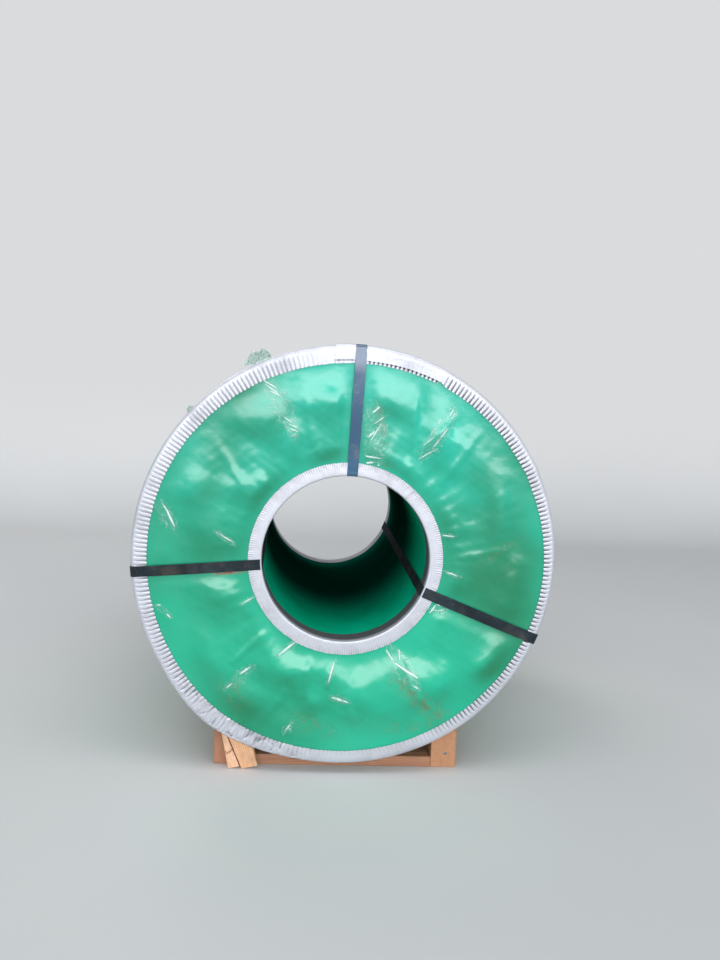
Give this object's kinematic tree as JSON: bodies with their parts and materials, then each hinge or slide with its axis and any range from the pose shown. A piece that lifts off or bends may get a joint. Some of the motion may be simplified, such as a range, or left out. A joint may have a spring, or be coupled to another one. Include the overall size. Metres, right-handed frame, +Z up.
{
  "type": "steel coil",
  "caption": "Packed coil of steel strip with green end covers, fluted steel edge rings and straps, lying eye-level on a timber cradle.",
  "frame": {"origin": "on the floor, below the middle of the coil", "axes": "+Y along the coil's axis from the pictured end to the far end, +X to the right seen from the pictured end, +Z up"},
  "size_m": [1.2705, 1.2338, 1.3089],
  "materials": {
    "strip_steel": "cold-rolled strip, seen at the turns' edges",
    "green_sheet": "glossy green plastic wrapping sheet with soft dents",
    "galvanised": "thin galvanised steel edge ring, pale lavender grey",
    "blue_strap": "dark blue lacquered steel strapping",
    "black_strap": "black lacquered steel strapping",
    "strap_seal": "plain galvanised crimped seal",
    "brown_timber": "rough-sawn reddish-brown hardwood",
    "pale_timber": "rough-sawn pale softwood"
  },
  "bodies": {
    "root": {"steel_coil": "strip_steel", "outer_wrap": "green_sheet", "bore_liner": "green_sheet", "end_cover_front": "green_sheet", "end_cover_rear": "green_sheet", "outer_ring_front": "galvanised", "outer_ring_rear": "galvanised", "inner_ring_front": "galvanised", "inner_ring_rear": "galvanised", "eye_strap_top": "blue_strap", "eye_strap_left": "black_strap", "eye_strap_right": "black_strap", "eye_seal_top": "strap_seal", "eye_seal_left": "strap_seal", "eye_seal_right": "strap_seal", "hoop_strap_1": "black_strap", "hoop_strap_2": "black_strap", "hoop_seal_1": "strap_seal", "hoop_seal_2": "strap_seal", "bearer_left": "brown_timber", "bearer_right": "brown_timber", "crossboard_front": "brown_timber", "crossboard_middle": "brown_timber", "crossboard_rear": "brown_timber", "chock_wide": "pale_timber", "chock_narrow": "pale_timber"}
  },
  "joints": []
}
